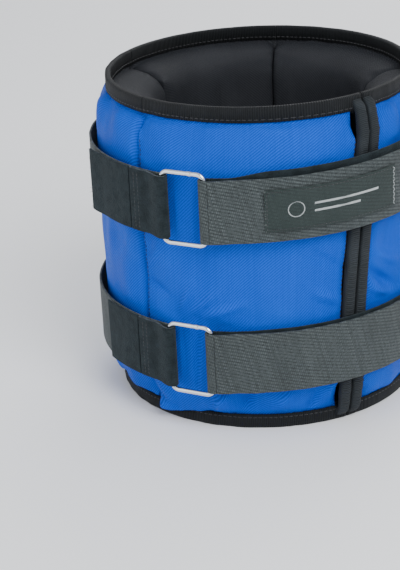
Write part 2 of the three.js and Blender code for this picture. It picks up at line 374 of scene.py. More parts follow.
def strap_middle(level, angle):
    """The height of a strap's middle: level round the back, climbing a little over the closure."""
    turned = math.remainder(angle, math.tau)
    if fold_angle < turned < closing_end:
        return strap_heights[level] + closing_climb * (turned - fold_angle)
    return strap_heights[level]


def add_piece(name, bm, material):
    """A bmesh as a smooth-shaded object with one material."""
    mesh = bpy.data.meshes.new(name)
    bm.to_mesh(mesh)
    bm.free()
    mesh.materials.append(material)
    mesh.polygons.foreach_set("use_smooth", [True] * len(mesh.polygons))
    piece = bpy.data.objects.new(name, mesh)
    scene.collection.objects.link(piece)
    return piece


def bake_modifiers(piece):
    """Replaces a piece's mesh with what its modifiers make of it."""
    evaluated = piece.evaluated_get(bpy.context.evaluated_depsgraph_get())
    mesh = bpy.data.meshes.new_from_object(evaluated)
    piece.modifiers.clear()
    piece.data = mesh
    mesh.polygons.foreach_set("use_smooth", [True] * len(mesh.polygons))


def round_corners(bm, corners, reach, rise):
    """Rounds corners of an upright section to quarter ellipses, reach wide and rise high."""
    stretch = rise / reach
    bmesh.ops.scale(bm, vec=(stretch, 1, 1), verts=bm.verts)
    bmesh.ops.bevel(bm, geom=corners, offset=rise, offset_type="OFFSET", segments=6, profile=0.5,
                    affect="VERTICES", clamp_overlap=False, material=-1)
    bmesh.ops.scale(bm, vec=(1 / stretch, 1, 1), verts=bm.verts)


def pocket_block(name):
    """A pocket's plain filled shape, a little slack, ready to be swollen by its filling."""
    from_angle, to_angle, _, outer, bottom, top = extent(f"{name}_outer_panel")
    inner = extent(f"{name}_lining")[2]
    slack = 0.003
    inner += slack
    outer -= slack
    bm = bmesh.new()
    section = [bm.verts.new(place) for place in (
        (inner, 0, bottom), (outer, 0, bottom), (outer, 0, top), (inner, 0, top))]
    bm.faces.new(section)
    round_corners(bm, section[1:3], outer - rim_radius - 0.002, 0.032)
    inner_corners = [v for v in bm.verts if abs(v.co.x - inner) < 1e-6]
    round_corners(bm, inner_corners, rim_radius - inner - 0.002, 0.016)
    bmesh.ops.rotate(bm, cent=(0, 0, 0), verts=bm.verts,
                     matrix=Matrix.Rotation(from_angle - math.pi / 2, 3, "Z"))
    bmesh.ops.spin(bm, geom=bm.verts[:] + bm.edges[:] + bm.faces[:], cent=(0, 0, 0), axis=(0, 0, 1),
                   angle=to_angle - from_angle, steps=24)
    bmesh.ops.translate(bm, vec=axis, verts=bm.verts)
    bmesh.ops.recalc_face_normals(bm, faces=bm.faces)
    return bm


pillows = {}
for name in pocket_names:
    pillow = add_piece(f"{name}_pillow", pocket_block(name), blue_cloth)
    remesh = pillow.modifiers.new("even", "REMESH")
    remesh.mode = "VOXEL"
    remesh.voxel_size = cloth_voxel
    bake_modifiers(pillow)
    from_angle, to_angle = extent(f"{name}_outer_panel")[:2]
    sewn = pillow.vertex_groups.new(name="sewn")
    held = []
    for vertex in pillow.data.vertices:
        angle, radius = polar(vertex.co)
        turned = from_angle + (angle - from_angle) % math.tau
        side = min(abs(turned - from_angle), abs(turned - to_angle),
                   abs(turned - from_angle - math.tau))
        near_side = side * radius < 0.004
        near_rim = abs(radius - rim_radius) < 0.004
        near_rim = near_rim and not 0.03 < vertex.co.z < cuff_height - 0.03
        if near_side or near_rim:
            held.append(vertex.index)
    sewn.add(held, 1.0, "REPLACE")
    pillows[name] = pillow

at_rest = {name: [v.co.copy() for v in pillow.data.vertices] for name, pillow in pillows.items()}
for pillow in pillows.values():
    filling = pillow.modifiers.new("filling", "CLOTH")
    filling.settings.use_pressure = True
    filling.settings.uniform_pressure_force = 4
    filling.settings.effector_weights.gravity = 0
    filling.settings.vertex_group_mass = "sewn"
for moment in range(1, 21):
    scene.frame_set(moment)
for name, pillow in pillows.items():
    bake_modifiers(pillow)
    for vertex, start in zip(pillow.data.vertices, at_rest[name]):
        moved = vertex.co - start
        if moved.length > swell_limit:
            vertex.co = start + moved * (swell_limit / moved.length)
scene.frame_set(1)

seam_angles = [polar(Vector(joint["pos_m"]))[0] for joint in frame["joints"]
               if joint["name"].endswith("_seam")]


def pressed(angle, radius, height):
    """The radius of a point on a pocket's outside once the straps have pressed it in."""
    limit = cuff_radius + 0.0025
    for level in strap_heights:
        off = abs(height - strap_middle(level, angle)) - strap_half
        limit = min(limit, cuff_radius - 0.0006 + 0.0031 * ease(off, -0.002, 0.016))
    for seam in seam_angles:
        off = abs(math.remainder(angle - seam, math.tau)) * cuff_radius
        limit = min(limit, cuff_radius - 0.0014 + 0.0040 * ease(off, -0.0005, 0.009))
    for end in (front_end, right_end):
        off = abs(math.remainder(angle - end, math.tau)) * cuff_radius
        limit = min(limit, cuff_radius - 0.005 + 0.0078 * ease(off, -0.001, 0.014))
    return min(radius, limit)


# Folds in the cloth: each runs from one angle in degrees and height to another, with a rise or a
# fall of the surface and a breadth.
folds = [
    (-26, 0.026, -24, 0.073, -0.0011, 0.0022), (-30, 0.076, -25, 0.094, 0.0009, 0.0024),
    (-24, 0.078, -17, 0.090, 0.0008, 0.0024), (-20, 0.076, -8, 0.083, 0.0007, 0.0026),
    (-45, 0.012, -36, 0.020, 0.0013, 0.0028), (-44, 0.022, -34, 0.016, -0.0009, 0.0022),
    (-14, 0.024, -20, 0.012, 0.0013, 0.0036), (-6, 0.026, -9, 0.010, -0.0012, 0.0034),
    (8, 0.028, 4, 0.012, 0.0010, 0.0034), (18, 0.026, 15, 0.010, -0.0010, 0.0030),
    (36, 0.094, 48, 0.080, -0.0013, 0.0026), (36, 0.084, 46, 0.074, 0.0010, 0.0026),
    (37, 0.104, 52, 0.092, 0.0009, 0.0030), (24, 0.100, 14, 0.112, -0.0007, 0.0030),
    (24, 0.080, 15, 0.088, 0.0008, 0.0030), (-44, 0.100, -38, 0.112, 0.0007, 0.0026),
    (-44, 0.090, -36, 0.086, -0.0008, 0.0024), (22, 0.020, 24, 0.034, 0.0010, 0.0024),
]


def puckered(angle, radius, height):
    """How far the cloth stands out at a point: puckers at the seams, flutes above the rim, folds."""
    out = 0
    for seam in seam_angles:
        off = abs(math.remainder(angle - seam, math.tau)) * radius
        wave = math.sin(height * 620 + 2.2 * noise.noise(Vector((height * 45, seam * 3, 0))))
        strength = 0.5 + noise.noise(Vector((height * 30, seam * 5, 2)))
        out += 0.0006 * wave * strength * math.exp(-off / 0.007)
    at = Vector((angle * 1.9, height * 9, 0.4))
    out += 0.0022 * noise.noise(at * 3.1)
    flute = math.sin(angle * 17 + 2.5 * noise.noise(Vector((angle * 4, 1, 0))))
    edge = min(height - rim_tape, cuff_height - rim_tape - height)
    out += 0.0022 * flute * math.exp(-max(0, edge) / 0.016)
    for fold in folds:
        from_turn, from_height, to_turn, to_height, rise, breadth = fold
        start = Vector((math.radians(from_turn) * cuff_radius, from_height))
        run = Vector((math.radians(to_turn) * cuff_radius, to_height)) - start
        at = Vector((math.remainder(angle, math.tau) * cuff_radius, height)) - start
        share = min(1, max(0, at.dot(run) / run.length_squared))
        off = (at - run * share).length
        swell = math.exp(-(off / breadth) ** 2) * math.sin(math.pi * (0.12 + 0.76 * share))
        out += 2.6 * rise * swell
    return out


def drooped(angle, height):
    """How far the cloth sags over the lower rim, or is drawn up from it, at an angle round the cuff."""
    turned = math.degrees(math.remainder(angle, math.tau))
    drop = 0.0075 * math.exp(-((turned + 37) / 13) ** 2) - 0.006 * math.exp(-((turned + 4) / 8) ** 2)
    drop += 0.002 * noise.noise(Vector((angle * 5, 7, 0)))
    return drop * (1 - ease(height, rim_tape + 0.001, rim_tape + 0.03))


closure_pieces = []
left_window, right_window = extent("lower_ring")[0] + 0.05, extent("lower_ring")[1] - 0.04
covers = {}
for name, pillow in pillows.items():
    mesh = pillow.data
    low_turn, high_turn = extent(f"{name}_outer_panel")[:2]
    for vertex in mesh.vertices:
        angle, radius = polar(vertex.co)
        for turn, inward in ((low_turn, 1), (high_turn, -1)):
            off = math.remainder(angle - turn, math.tau) * radius * inward
            if off < 0.0022:
                sewn_turn = turn - inward * (0.0045 if abs(off) < 0.004 else 0)
                near_seam = any(abs(math.remainder(turn - seam, math.tau)) < 0.01 for seam in seam_angles)
                angle = sewn_turn if near_seam else turn
        height = min(max(vertex.co.z, 0.0015), cuff_height - 0.0015)
        if radius > rim_radius:
            height = min(max(height, rim_tape - 0.002), cuff_height - rim_tape + 0.002)
        vertex.co = around(angle, pressed(angle, radius, height), height)

    bag_mesh = bmesh.new()
    bag_mesh.from_mesh(mesh)
    bag_mesh.normal_update()
    for vertex in bag_mesh.verts:
        angle, radius = polar(vertex.co - vertex.normal * 0.005)
        middle = (low_turn + high_turn) / 2
        angle = middle + 0.93 * math.remainder(angle - middle, math.tau)
        height = min(max(vertex.co.z, rim_tape + 0.009), cuff_height - rim_tape - 0.009)
        full = ease(min(height, cuff_height - height), rim_tape, rim_tape + 0.03)
        mid_wall = (rim_radius + leg_radius) / 2
        reach = mid_wall + (radius - mid_wall) * (0.5 + 0.5 * full)
        vertex.co = around(angle, min(reach, cuff_radius - 0.007), height)
    bag = add_piece(f"{name}_sand_bag", bag_mesh, calico)

    smooth = pillow.modifiers.new("smooth", "SUBSURF")
    smooth.levels = smooth.render_levels = 2
    bake_modifiers(pillow)
    for vertex in pillow.data.vertices:
        angle, radius = polar(vertex.co)
        if radius > rim_radius:
            height = vertex.co.z
            shown = ease(radius, rim_radius, rim_radius + 0.006)
            for level in strap_heights:
                off = abs(height - strap_middle(level, angle)) - strap_half
                shown *= ease(off, 0.0005, 0.007)
            window = left_window < math.remainder(angle, math.tau) < right_window
            shown = max(shown, 0.6) if window and radius > cuff_radius - 0.01 else shown
            sunk = max(0.001, height - drooped(angle, height) * ease(radius, rim_radius, rim_radius + 0.006))
            radius = pressed(angle, radius, height) + puckered(angle, radius, height) * shown
            vertex.co = around(angle, radius, sunk)

    for part, material, node in (("cover", blue_cloth, "outer_panel"),
                                 ("lining", black_cloth, "lining")):
        bm = bmesh.new()
        bm.from_mesh(pillow.data)
        outside = part == "cover"
        spare = [f for f in bm.faces
                 if (polar(f.calc_center_median())[1] > rim_radius) != outside]
        bmesh.ops.delete(bm, geom=spare, context="FACES")
        for vertex in bm.verts:
            if vertex.is_boundary:
                height = vertex.co.z
                if height < 0.028:
                    height = min(height, rim_tape - 0.003)
                if height > cuff_height - 0.028:
                    height = max(height, cuff_height - rim_tape + 0.003)
                vertex.co = around(polar(vertex.co)[0], rim_radius, height)
        piece = add_piece(f"{name}_cloth_{part}", bm, material)
        base = cuff_radius if outside else leg_radius
        uv = piece.data.uv_layers.new(name="cloth")
        for loop in piece.data.loops:
            place = piece.data.vertices[loop.vertex_index].co
            angle, radius = polar(place)
            turned = math.remainder(angle - sum(extent(f"{name}_lining")[:2]) / 2, math.tau)
            inward = abs(base - radius)
            rise = place.z + inward * (2 * ease(place.z, 0.3 * cuff_height, 0.7 * cuff_height) - 1)
            uv.data[loop.index].uv = (turned * base, rise)
        if not outside and name in ("front", "right"):
            end_turn = high_turn if name == "front" else low_turn
            for vertex in piece.data.vertices:
                angle, radius = polar(vertex.co)
                off = abs(math.remainder(angle - end_turn, math.tau))
                turned = (front_end + right_end) / 2 - end_turn
                turned -= math.copysign(0.002, turned)
                shift = turned * (1 - ease(off, 0.01, 0.25))
                vertex.co = around(angle + shift, radius, vertex.co.z)
        wall = piece.modifiers.new("wall", "SOLIDIFY")
        wall.thickness = 0.0008
        wall.offset = -1
        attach(piece, name)
        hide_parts(f"{name}_{node}")
        covers[name, part] = piece
        closure_pieces.append(piece)
    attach(bag, name)
    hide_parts(f"{name}_weight_bag")
    closure_pieces.append(bag)
    bpy.data.objects.remove(pillow)

# --- Seams between the pockets --------------------------------------------------------------------
# Black polyester thread in a lock stitch closes each pocket beside the seam, about 2.5 mm a stitch.
def thread_finish(name, light, dark):
    finish = Finish(name, 0.55, sheen=0.2, specular=0.3)
    twist = finish.noise(finish.scaled(finish.place(), (1, 1, 2.5)), 2400, 2)
    finish.bump((twist, 0.0001))
    return finish.feed(finish.blend(twist, dark, light))


black_thread = thread_finish("black_thread", (0.03, 0.032, 0.036), (0.006, 0.006, 0.008))
grey_thread = thread_finish("grey_thread", (0.16, 0.18, 0.18), (0.06, 0.07, 0.07))


def stitch(bm, start, end, thickness):
    """One stitch: a small rounded lozenge of thread from start to end."""
    span = end - start
    turn = span.to_track_quat("X", "Z").to_matrix().to_4x4()
    shape = Matrix.Diagonal((span.length / 2, thickness / 2, thickness / 2, 1))
    matrix = Matrix.Translation((start + end) / 2) @ turn @ shape
    bmesh.ops.create_icosphere(bm, subdivisions=1, radius=1, matrix=matrix)


def stitch_row(bm, place, length, pitch, thickness):
    """Stitches along a path: place(distance) gives each point."""
    count = max(1, round(length / pitch))
    for number in range(count):
        start = number * length / count
        stitch(bm, place(start), place(start + 0.84 * length / count), thickness)


def surface_radius(tree, angle, height):
    """The radius of a piece's outside at an angle and a height."""
    outside = around(angle, cuff_radius + 0.03, height)
    inward = (around(angle, 0, height) - outside).normalized()
    hit = tree.ray_cast(outside, inward, 0.05)[0]
    return polar(hit)[1] if hit else cuff_radius - 0.003


seam_margin = 0.0009
for name in pocket_names:
    low_turn, high_turn = extent(f"{name}_lining")[:2]
    shell = BVHTree.FromObject(covers[name, "cover"], bpy.context.evaluated_depsgraph_get())
    seam_threads = bmesh.new()
    for turn, side in ((low_turn, 1), (high_turn, -1)):
        turn += side * seam_margin / cuff_radius

        def seam_place(distance):
            height = rim_tape + 0.014 + distance
            return around(turn, surface_radius(shell, turn, height) + 0.0001, height)

        stitch_row(seam_threads, seam_place, cuff_height - 2 * rim_tape - 0.028, 0.0027, 0.0006)
    seam = add_piece(f"{name}_seam_stitches", seam_threads, black_thread)
    closure_pieces.append(seam)
    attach(seam, name)

# Behind each seam lies a strip of the same cloth, sewn to both pockets, so that no light shows
# through when the cuff is laid open.
strip_half = 0.013
strip_radius = cuff_radius - 0.0095
seam_pairs = [(joint["parent"], joint["child"], polar(Vector(joint["pos_m"]))[0])
              for joint in frame["joints"] if joint["name"].endswith("_seam")]


def blend_ends(body, seam_turn, reach, radius, height):
    """Where a piece across a seam starts and ends its bend, from the body's side to the other."""
    side = math.remainder(sum(extent(f"{body}_lining")[:2]) / 2 - seam_turn, math.tau)
    bend = math.copysign(reach * 0.6, side)
    return [tuple(around(seam_turn + turn, radius, height)) for turn in (bend, -bend)]


for body_a, body_b, seam_turn in seam_pairs:
    bm = bmesh.new()
    bmesh.ops.create_grid(bm, x_segments=18, y_segments=90, size=0.5)
    strip_height = cuff_height - 2 * rim_tape + 0.006
    reach = strip_half / strip_radius
    places = {v: (v.co.x * 2 * reach, cuff_height / 2 + v.co.y * strip_height) for v in bm.verts}
    uv = bm.loops.layers.uv.new("cloth")
    for face in bm.faces:
        for loop in face.loops:
            turned, height = places[loop.vert]
            loop[uv].uv = (turned * strip_radius, height)
    for vertex, (turned, height) in places.items():
        edge = min(height - rim_tape, cuff_height - rim_tape - height)
        radius = rim_radius + (strip_radius - rim_radius) * ease(edge, 0.006, 0.026)
        vertex.co = around(seam_turn + turned, radius, height)
    strip = add_piece(f"{body_a}_{body_b}_seam_strip", bm, blue_cloth)
    strip.data.materials.append(black_cloth)
    wall = strip.modifiers.new("wall", "SOLIDIFY")
    wall.thickness = 0.0008
    wall.material_offset = 1
    bake_modifiers(strip)
    start, end = blend_ends(body_a, seam_turn, reach, strip_radius, cuff_height / 2)
    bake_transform(strip)

# --- Rim bindings ---------------------------------------------------------------------------------
# A black grosgrain tape is folded over the raw edges of cover and lining round both rims, and sewn
# through with one row of black thread.
def ribbed_tape(name, light, dark, pitch):
    finish = Finish(name, 0.65, sheen=0.03, specular=0.15)
    along = finish.tree.nodes.new("ShaderNodeSeparateXYZ")
    finish.tree.links.new(finish.cloth(), along.inputs[0])
    wave = finish.math("SINE", finish.math("MULTIPLY", along.outputs[0], math.tau / pitch))
    rib = finish.spread(wave, -1, 1)
    grain = finish.noise(finish.scaled(finish.cloth(), (1, 5, 1)), 900, 3)
    worn = finish.noise(finish.place(), 70, 3)
    shade = finish.math("ADD", finish.math("MULTIPLY", rib, 0.6), finish.math("MULTIPLY", grain, 0.4))
    colour = finish.blend(shade, dark, light)
    colour = finish.blend(finish.spread(worn, 0.55, 0.8, 0, 0.35), colour, tuple(1.6 * c for c in light))
    finish.bump((rib, 0.00035), (grain, 0.0001))
    return finish.feed(colour, finish.spread(grain, 0.3, 0.7, 0.5, 0.75))


# Painted shade: the black rim tape is coloured darker than the same tape at the closure ends, matched to it
# where it lies in shadow.
shaded_binding_tape = ribbed_tape("black_grosgrain", (0.012, 0.014, 0.016), (0.0015, 0.002, 0.0025), 0.0011)


def rim_tape_piece(name, rim, from_turn, to_turn, sides, steps):
    """A length of folded tape along a rim: its section is spun round the cuff, its fold rounded."""
    inner, outer, low_edge, high_edge = sides
    bm = bmesh.new()
    section = [bm.verts.new(place) for place in (
        (inner, 0, low_edge), (outer, 0, low_edge), (outer, 0, high_edge), (inner, 0, high_edge))]
    bm.faces.new(section)
    folded = section[:2] if rim == "bottom" else section[2:]
    bmesh.ops.bevel(bm, geom=folded, offset=0.0014, offset_type="OFFSET", segments=4,
                    profile=0.5, affect="VERTICES", material=-1)
    bmesh.ops.rotate(bm, cent=(0, 0, 0), verts=bm.verts,
                     matrix=Matrix.Rotation(from_turn - math.pi / 2, 3, "Z"))
    bmesh.ops.spin(bm, geom=bm.verts[:] + bm.edges[:] + bm.faces[:], cent=(0, 0, 0),
                   axis=(0, 0, 1), angle=to_turn - from_turn, steps=steps)
    bmesh.ops.translate(bm, vec=axis, verts=bm.verts)
    bmesh.ops.remove_doubles(bm, verts=bm.verts, dist=1e-6)
    bmesh.ops.recalc_face_normals(bm, faces=bm.faces)
    for vertex in bm.verts:
        angle, radius = polar(vertex.co)
        vertex.co = around(angle, radius + hem_sway(angle, rim), vertex.co.z)
    tape = add_piece(name, bm, shaded_binding_tape)
    uv = tape.data.uv_layers.new(name="cloth")
    middle_turn = (from_turn + to_turn) / 2
    for loop in tape.data.loops:
        place = tape.data.vertices[loop.vertex_index].co
        turned = math.remainder(polar(place)[0] - middle_turn, math.tau)
        uv.data[loop.index].uv = (turned * rim_radius, place.z)
    return tape


def hem_sway(angle, rim):
    """How far a rim wanders out or in at an angle round the cuff."""
    lift = 0 if rim == "bottom" else 4
    return 0.0005 * noise.noise(Vector((math.remainder(angle, math.tau) * 9, 3, lift)))


end_overlap = extent("front_end_binding")[1] - extent("front_bottom_binding")[1]
for name in pocket_names:
    for rim in ("bottom", "top"):
        from_turn, to_turn, inner, outer, low_edge, high_edge = extent(f"{name}_{rim}_binding")
        at_seam = [any(abs(math.remainder(turn - seam_turn, math.tau)) < 0.01
                       for seam_turn in seam_angles) for turn in (from_turn, to_turn)]
        from_turn -= 0.0045 if at_seam[0] else end_overlap
        to_turn += 0.0045 if at_seam[1] else end_overlap
        sides = (inner, outer, low_edge, high_edge)
        tape = rim_tape_piece(f"{name}_{rim}_hem", rim, from_turn, to_turn, sides, 60)
        closure_pieces.append(tape)
        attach(tape, name)
        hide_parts(f"{name}_{rim}_binding")

        row_height = high_edge - 0.0018 if rim == "bottom" else low_edge + 0.0018
        hem_threads = bmesh.new()
        for face_radius in (inner - 0.00005, outer + 0.00005):
            def hem_place(distance):
                turn = from_turn + distance / rim_radius
                return around(turn, face_radius + hem_sway(turn, rim), row_height)

            stitch_row(hem_threads, hem_place, (to_turn - from_turn) * rim_radius, 0.003, 0.0006)
        threads = add_piece(f"{name}_{rim}_hem_stitches", hem_threads, black_thread)
        closure_pieces.append(threads)
        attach(threads, name)

# Inside the hems the tape runs on unbroken past each seam.
hem_reach = 0.11
for body_a, body_b, seam_turn in seam_pairs:
    for rim in ("bottom", "top"):
        _, _, inner, outer, low_edge, high_edge = extent(f"{body_a}_{rim}_binding")
        sides = (inner + 0.0003, outer - 0.0003, low_edge + 0.0003, high_edge - 0.0003)
        bridge = rim_tape_piece(f"{body_a}_{body_b}_{rim}_hem_bridge", rim, seam_turn - hem_reach,
                                seam_turn + hem_reach, sides, 24)
        start, end = blend_ends(body_a, seam_turn, hem_reach, rim_radius, low_edge)
        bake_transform(bridge)

# --- End bindings ---------------------------------------------------------------------------------
# The two free ends, which meet at the front, are each closed with the same grosgrain tape, folded
# over the edge from rim to rim. Its ribs run across the tape.
# Painted light: the same tape at the closure ends is coloured lighter than along the rims, matched to it where
# it lies lit.
lit_end_grosgrain = ribbed_tape("lit_end_grosgrain", (0.03, 0.037, 0.043), (0.003, 0.0045, 0.0055), 0.0013)
for name in ("front", "right"):
    bm = bmesh.new()
    bm.from_mesh(frame["nodes"][f"{name}_end_binding"].data)
    bmesh.ops.remove_doubles(bm, verts=bm.verts, dist=1e-5)
    end_tape = add_piece(f"{name}_end_tape", bm, lit_end_grosgrain)
    even = end_tape.modifiers.new("even", "REMESH")
    even.mode = "VOXEL"
    even.voxel_size = 0.0009
    rounded = end_tape.modifiers.new("rounded", "SMOOTH")
    rounded.factor = 0.6
    rounded.iterations = 9
    bake_modifiers(end_tape)
    low_turn, high_turn, inner, outer, low_edge, high_edge = extent(f"{name}_end_binding")
    middle_turn = (low_turn + high_turn) / 2
    for vertex in end_tape.data.vertices:
        angle, radius = polar(vertex.co)
        across = (angle - middle_turn) / (high_turn - low_turn) * 2
        along = vertex.co.z + (outer - radius) * (1 if vertex.co.z > cuff_height / 2 else -1)
        crown = 0.0007 * max(0, 1 - across * across) * ease(radius, outer - 0.012, outer - 0.003)
        rib = 0.00012 * math.sin(math.tau * along / 0.0026)
        wander = 0.006 * noise.noise(Vector((vertex.co.z * 22, middle_turn * 9, 0)))
        reach = rim_tape * (1 - ease(min(vertex.co.z, cuff_height - vertex.co.z), 0.011, 0.05))
        height = vertex.co.z + (reach if vertex.co.z > cuff_height / 2 else -reach)
        vertex.co = around(angle + wander * 0.4, radius + crown + rib, height)
    uv = end_tape.data.uv_layers.new(name="cloth")
    for loop in end_tape.data.loops:
        place = end_tape.data.vertices[loop.vertex_index].co
        angle, radius = polar(place)
        along = place.z + (outer - radius) * (1 if place.z > cuff_height / 2 else -1)
        uv.data[loop.index].uv = (along, (angle - middle_turn) * cuff_radius)
    closure_pieces.append(end_tape)
    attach(end_tape, name)
    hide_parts(f"{name}_end_binding")

# The closure leans: towards the upper rim the two ends run a little to one side.
closure_turn = (front_end + right_end) / 2
for piece in closure_pieces:
    for vertex in piece.data.vertices:
        angle, radius = polar(vertex.co)
        off = abs(math.remainder(angle - closure_turn, math.tau))
        share = min(1, max(0, (vertex.co.z - 0.03) / 0.15))
        turned = 0.155 * share ** 1.5 * (1 - ease(off, 0.1, 0.62))
        if turned:
            vertex.co = around(angle + turned, radius, vertex.co.z)

# --- Straps round the back ------------------------------------------------------------------------
# Two lengths of grey woven tape, its outside close herringbone and its edges a plain selvedge, are
# sewn to the pockets at every seam.
def woven_finish(name, light, dark):
    finish = Finish(name, 0.65, sheen=0.05, specular=0.2)
    slanted = finish.tree.nodes.new("ShaderNodeMapping")
    slanted.inputs["Rotation"].default_value = (0, 0, math.radians(-14))
    finish.tree.links.new(finish.cloth(), slanted.inputs["Vector"])
    threads = finish.weave(finish.scaled(slanted.outputs[0], (-0.55, 1, 1)), 0.00056)
    grain = finish.noise(finish.scaled(finish.cloth(), (1, 6, 1)), 420, 4, 0.6)
    cloudy = finish.noise(finish.place(), 45, 3)
    warp = finish.math("MULTIPLY", threads["Over"], threads["Height"])
    shade = finish.math("ADD", finish.math("MULTIPLY", warp, 0.4),
                        finish.math("MULTIPLY", finish.spread(grain, 0.35, 0.65), 0.3))
    shade = finish.math("ADD", shade, finish.math("MULTIPLY", threads["Yarn"], 0.3))
    colour = finish.blend(shade, dark, light)
    colour = finish.blend(finish.spread(cloudy, 0.5, 0.8, 0, 0.3), colour, dark)
    finish.bump((grain, 0.0001), (threads["Height"], 0.00026))
    return finish.feed(colour, finish.spread(grain, 0.3, 0.7, 0.5, 0.72))


def loop_finish(name, light, dark):
    finish = Finish(name, 0.95, sheen=0.1, tint=(0.7, 0.8, 0.85), specular=0.08)
    tangle = finish.tree.nodes.new("ShaderNodeTexVoronoi")
    tangle.feature = "SMOOTH_F1"
    tangle.inputs["Scale"].default_value = 1500
    finish.tree.links.new(finish.cloth(), tangle.inputs["Vector"])
    fuzz = finish.noise(finish.cloth(), 1300, 5, 0.7)
    patches = finish.noise(finish.cloth(), 160, 4, 0.6)
    shade = finish.math("ADD", finish.math("MULTIPLY", finish.spread(fuzz, 0.35, 0.65), 0.5),
                        finish.math("MULTIPLY", finish.spread(patches, 0.3, 0.7), 0.5))
    finish.bump((patches, 0.0004), (tangle.outputs["Distance"], 0.0002), (fuzz, 0.00035))
    return finish.feed(finish.blend(shade, dark, light), finish.spread(fuzz, 0.3, 0.7, 0.8, 1))


woven_tape = woven_finish("grey_woven_tape", (0.098, 0.118, 0.119), (0.0085, 0.0125, 0.014))
loop_tape = loop_finish("grey_loop_pile", (0.024, 0.034, 0.039), (0.002, 0.0034, 0.004))
tape_low, tape_high = extent("lower_strap_left")[2:4]
tape_thickness = tape_high - tape_low
tape_height = (tape_low + tape_high) / 2 - cuff_radius
second_height = sum(extent("lower_keeper_end")[2:4]) / 2 - cuff_radius
selvedge = 0.0011


def tape_along(stops):
    """Distances run along a path of (angle, height over the cuff) stops, from its start."""
    run = [0]
    for (turn_a, height_a), (turn_b, height_b) in zip(stops, stops[1:]):
        run.append(run[-1] + math.hypot((turn_b - turn_a) * cuff_radius, height_b - height_a))
    return run


def tape_stop(stops, run, distance):
    """The angle and height over the cuff at a distance along a path."""
    slot = 0
    while slot < len(run) - 2 and run[slot + 1] < distance:
        slot += 1
    share = (distance - run[slot]) / (run[slot + 1] - run[slot])
    return [a + (b - a) * share for a, b in zip(stops[slot], stops[slot + 1])]


def lay_tape(name, stops, level, materials, body, node, width=None, thickness=None,
             edge=selvedge, pitch=0.0014, ripple=0.0002, rise=0.0):
    """A tape laid along a path round the cuff, bent from a flat grid and given its thickness."""
    width = width or 2 * strap_half
    run = tape_along(stops)
    columns = max(6, round(run[-1] / pitch))
    bm = bmesh.new()
    bmesh.ops.create_grid(bm, x_segments=columns, y_segments=max(8, round(width / pitch)), size=0.5)
    flat = {}
    for vertex in bm.verts:
        distance = (vertex.co.x + 0.5) * run[-1]
        across = vertex.co.y * width
        flat[vertex] = (distance, across)
    uv = bm.loops.layers.uv.new("cloth")
    for face in bm.faces:
        for loop in face.loops:
            loop[uv].uv = flat[loop.vert]
    for vertex, (distance, across) in flat.items():
        turn, height = tape_stop(stops, run, distance)
        rim = abs(abs(across) - width / 2 + edge / 2) < edge / 2 if edge else False
        waver = noise.noise(Vector((turn * 12, across * 60, level_seed(level))))
        lift = (0.00018 if rim else 0) + ripple * waver
        raised = rise * ease(distance, 0.008, 0.035) * (1 - ease(distance, run[-1] - 0.05, run[-1]))
        middle = strap_middle(level, turn) + raised
        vertex.co = around(turn, cuff_radius + height + lift, middle + across)
    strip = add_piece(name, bm, materials[0])
    strip.data.materials.append(materials[1])
    wall = strip.modifiers.new("wall", "SOLIDIFY")
    wall.thickness = thickness or tape_thickness * 0.82
    wall.offset = 0
    wall.material_offset = 1
    soften = strip.modifiers.new("soften", "BEVEL")
    soften.width = 0.0003
    soften.segments = 2
    soften.limit_method = "ANGLE"
    soften.angle_limit = math.radians(50)
    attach(strip, body)
    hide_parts(node)
    return strip


def level_seed(level):
    return 2.5 if level == "upper" else 0.5


def arc_stops(from_turn, to_turn, height):
    """Stops a degree or so apart along a level run of tape."""
    count = max(2, round(abs(to_turn - from_turn) / math.radians(1.5)))
    return [(from_turn + (to_turn - from_turn) * number / count, height) for number in range(count + 1)]


for level in strap_heights:
    for name in ("left", "back_left", "back_right"):
        from_turn, to_turn = extent(f"{level}_strap_{name}")[:2]
        stops = arc_stops(from_turn - 0.0025, to_turn + 0.0025, tape_height)
        lay_tape(f"{level}_{name}_tape", stops, level, (woven_tape, loop_tape), name,
                 f"{level}_strap_{name}")
        tacks = bmesh.new()
        for turn in (from_turn + 0.016, to_turn - 0.016):
            def tack_place(distance):
                height = strap_heights[level] - strap_half + 0.002 + distance
                return around(turn, tape_high + 0.00005, height)

            stitch_row(tacks, tack_place, 2 * strap_half - 0.004, 0.0027, 0.0006)
        tack_row = add_piece(f"{level}_{name}_tacks", tacks, black_thread)
        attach(tack_row, name)

# --- Keepers --------------------------------------------------------------------------------------
# Each ring hangs in a keeper: a length of loop tape, pile side out, folded round the ring's left bar
# and sewn to the cuff through the front seam. Its cut end stands free beyond and has begun to fray.
def fray(bm, place, outward, width, count, length, seed):
    """Loose thread ends along a cut edge: place(share) gives a point, outward(share) a direction."""
    picks = random.Random(seed)
    for _ in range(count):
        share = picks.random()
        reach = length * (0.3 + 0.7 * picks.random() ** 2)
        lean = Vector((picks.uniform(-1, 1), picks.uniform(-1, 1), picks.uniform(-1, 1))) * 0.55
        direction = (outward(share) + lean).normalized()
        turn = direction.to_track_quat("Z", "Y").to_matrix().to_4x4()
        start = place(share) - direction * 0.0006
        matrix = Matrix.Translation(start + direction * reach / 2) @ turn
        bmesh.ops.create_cone(bm, cap_ends=True, segments=5, radius1=0.00013, radius2=0.00006,
                              depth=reach, matrix=matrix)


stock_wire_radius = 0.0015
wire_radius = min((extent("lower_ring")[3] - extent("lower_ring")[2]) / 2, stock_wire_radius)
bar_height = extent("lower_ring")[3] - wire_radius - cuff_radius
bar_inset = math.asin(wire_radius / (cuff_radius + bar_height))
left_bar = extent("lower_ring")[0] + bar_inset
right_bar = extent("lower_ring")[1] - bar_inset
fold_radius = bar_height - tape_height
landing_run = 0.011


